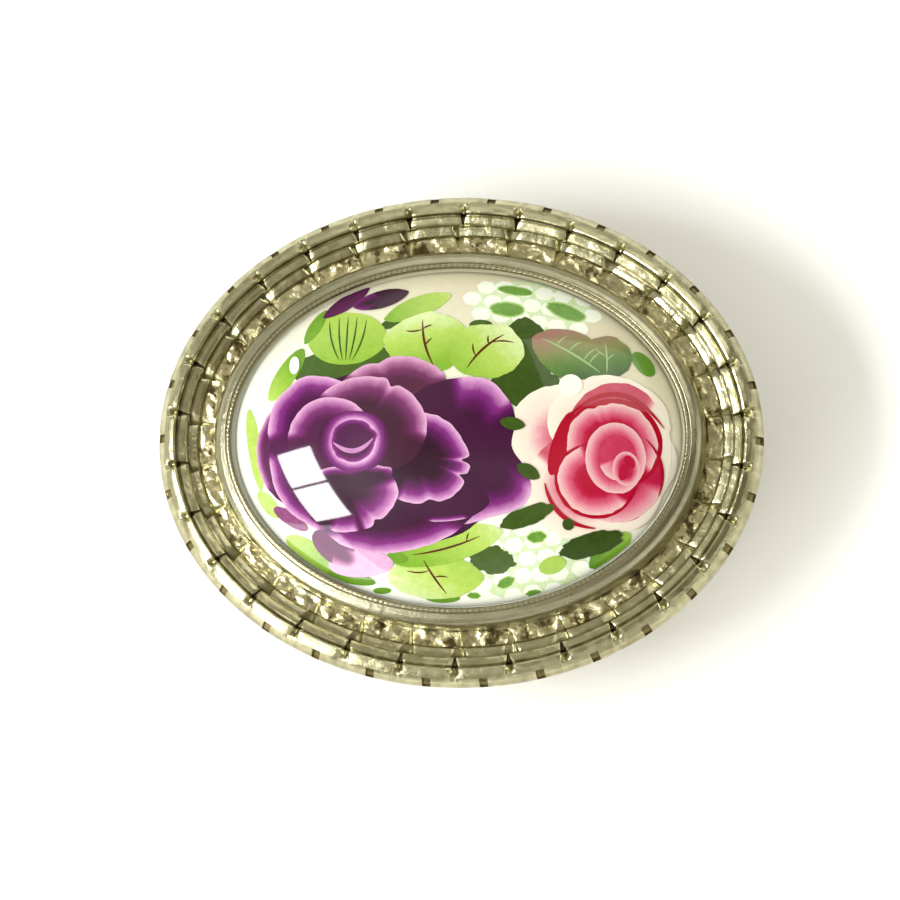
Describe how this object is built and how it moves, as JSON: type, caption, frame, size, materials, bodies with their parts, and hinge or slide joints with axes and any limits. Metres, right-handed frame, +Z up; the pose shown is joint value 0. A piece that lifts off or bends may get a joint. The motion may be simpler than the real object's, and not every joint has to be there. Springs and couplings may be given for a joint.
{
  "type": "pill box",
  "caption": "Oval hinged pill box with a notched cast rim and a domed clay cabochon patterned with roses and leaves, with a divided tray inside.",
  "frame": {"origin": "centre of the underside, on the surface the box stands on", "axes": "+X along the oval, +Y towards the hinge, +Z up"},
  "size_m": [0.053, 0.043, 0.0192],
  "materials": {
    "cast_metal": "antiqued cast white metal with a pale gold plating, satin with fine grain",
    "bezel_metal": "the same plating, finely brushed along the oval",
    "pin_steel": "drawn steel",
    "spring_brass": "rolled spring brass",
    "clay_cream": "polished clay, cream, lightly clouded",
    "clay_purple": "polished clay, blended from maroon-black to lilac in each petal",
    "clay_pink": "polished clay, blended from crimson to near white in each petal",
    "clay_leaf": "polished clay, leaf green with paler edges and brown veins",
    "clay_dark_leaf": "polished clay, dark olive green with pale veins",
    "clay_blossom": "polished clay, small six-sided cells with green centres",
    "clay_blank": "baked clay, sanded",
    "tray_plastic": "moulded plastic, milky white",
    "mirror_silver": "silvered glass",
    "foam": "sticky foam"
  },
  "bodies": {
    "base": {"base_wall": "cast_metal", "base_floor": "cast_metal", "base_collar": "cast_metal", "pill_tray": "tray_plastic", "hinge_leaf_base": "cast_metal", "hinge_pin": "pin_steel", "catch_spring": "spring_brass"},
    "lid": {"lid_frame": "cast_metal", "bezel_ring": "bezel_metal", "cabochon_core": "clay_blank", "clay_ground": "clay_cream", "purple_rose_slice": "clay_purple", "pink_rose_slice": "clay_pink", "top_leaf_slice": "clay_leaf", "bud_slice": "clay_leaf", "right_leaf_slice": "clay_dark_leaf", "bottom_leaf_slice": "clay_leaf", "left_leaf_slice": "clay_leaf", "corner_leaf_slice": "clay_leaf", "top_blossom_slice": "clay_blossom", "bottom_blossom_slice": "clay_blossom", "hinge_leaf_lid": "cast_metal", "catch_tab": "spring_brass", "mirror_rim": "tray_plastic", "mirror_glass": "mirror_silver", "mirror_pad": "foam"}
  },
  "joints": [
    {"name": "lid_hinge", "type": "hinge", "parent": "base", "child": "lid", "pos_m": [0, 0.02, 0.01], "axis": [-1, 0, 0], "range_deg": [0, 105]}
  ]
}
